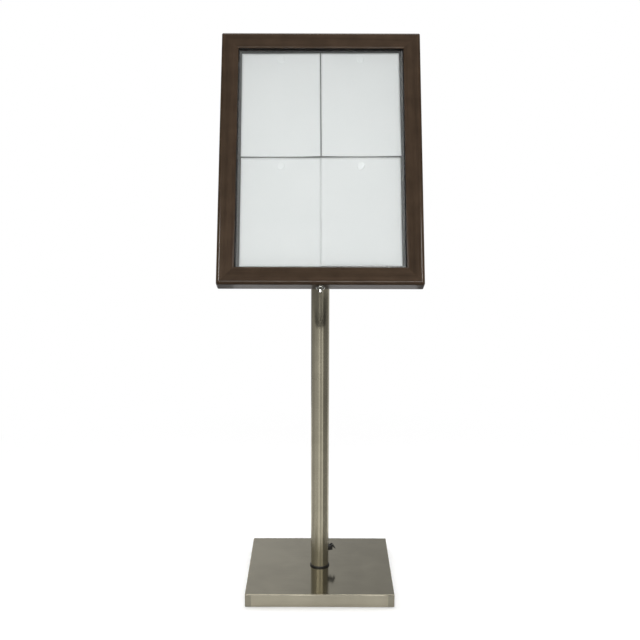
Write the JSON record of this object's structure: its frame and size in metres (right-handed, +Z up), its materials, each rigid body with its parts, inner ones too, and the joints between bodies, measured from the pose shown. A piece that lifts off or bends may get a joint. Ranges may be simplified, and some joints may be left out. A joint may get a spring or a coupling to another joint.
{
  "type": "menu display case",
  "caption": "Floor-standing menu display case: a tilting glazed wooden case with a lift-up locking door, on a steel pole and a square weighted base.",
  "frame": {"origin": "on the floor, under the middle of the square base and the pole's axis", "axes": "+Z up along the pole, -Y out of the front of the case, +X to the right of someone who faces it"},
  "size_m": [0.53, 0.4, 1.5096],
  "materials": {
    "steel_cover": "satin",
    "steel_pole": "satin",
    "cast_weight": "matte",
    "black_rubber": "matte",
    "zinc_steel": "satin",
    "black_plastic": "matte",
    "nylon": "satin",
    "black_steel": "satin",
    "dark_board": "matte",
    "grey_steel": "satin",
    "paper": "matte",
    "white_plastic": "gloss",
    "frosted_plastic": "satin",
    "aluminium": "satin",
    "stained_wood": "satin",
    "pale_wood": "matte",
    "clear_glass": "gloss",
    "chrome": "polished"
  },
  "bodies": {
    "stand": {"base_cover": "steel_cover", "ballast_block": "cast_weight", "base_feet": "black_rubber", "base_bolt": "zinc_steel", "base_washer": "zinc_steel", "foot_ring": "black_plastic", "pole_plug": "zinc_steel", "lower_tube": "steel_pole", "upper_tube": "steel_pole", "tube_joiner": "zinc_steel", "pole_cap": "black_plastic", "pole_grommet": "black_rubber", "pivot_bush": "zinc_steel", "saddle_left": "nylon", "saddle_right": "nylon", "inlet_socket": "black_plastic", "inlet_nut": "zinc_steel", "inlet_pin": "zinc_steel", "flap_pin": "zinc_steel"},
    "flap": {"inlet_flap": "black_rubber"},
    "case": {"yoke_bracket": "black_steel", "yoke_screws": "zinc_steel", "pivot_bolt": "zinc_steel", "pivot_washers": "zinc_steel", "back_board": "dark_board", "pin_board": "grey_steel", "cable_grommet": "black_rubber", "menu_sheet_upper_left": "paper", "menu_sheet_upper_right": "paper", "menu_sheet_lower_left": "paper", "menu_sheet_lower_right": "paper", "sheet_magnets": "white_plastic", "led_channel_left": "aluminium", "led_channel_right": "aluminium", "led_strips": "white_plastic", "led_diffusers": "frosted_plastic", "hinge_leaf_case_left": "zinc_steel", "hinge_leaf_case_right": "zinc_steel", "hinge_pins": "zinc_steel", "hinge_screws_case": "zinc_steel", "lock_keeper": "zinc_steel", "keeper_screws": "zinc_steel"},
    "knob": {"clamp_knob": "black_plastic"},
    "door": {"rail_top": "stained_wood", "rail_bottom": "stained_wood", "stile_left": "stained_wood", "stile_right": "stained_wood", "corner_keys": "pale_wood", "glazing": "clear_glass", "glazing_beads": "stained_wood", "door_seal": "black_rubber", "hinge_leaf_door_left": "zinc_steel", "hinge_leaf_door_right": "zinc_steel", "hinge_screws_door": "zinc_steel", "lock_body": "chrome", "lock_nut": "zinc_steel"},
    "lock": {"lock_plug": "chrome", "lock_cam": "zinc_steel", "cam_screw": "zinc_steel"}
  },
  "joints": [
    {"name": "tilt", "type": "hinge", "parent": "stand", "child": "case", "pos_m": [0, 0, 1.109], "axis": [-1, 0, 0], "range_deg": [-23.5, 21.5]},
    {"name": "door_lift", "type": "hinge", "parent": "case", "child": "door", "pos_m": [0, 0.11934, 1.47475], "axis": [-1, 0, 0], "range_deg": [0, 95]},
    {"name": "lock_turn", "type": "hinge", "parent": "door", "child": "lock", "pos_m": [0, -0.17509, 0.86181], "axis": [0, -0.3987, -0.9171], "range_deg": [0, 90]},
    {"name": "knob_turn", "type": "hinge", "parent": "case", "child": "knob", "pos_m": [0, 0, 1.109], "axis": [1, 0, 0], "continuous": true},
    {"name": "flap_open", "type": "hinge", "parent": "stand", "child": "flap", "pos_m": [0.03599, 0.0131, 0.0933], "axis": [0.342, -0.9397, 0], "range_deg": [-30, 100]}
  ]
}
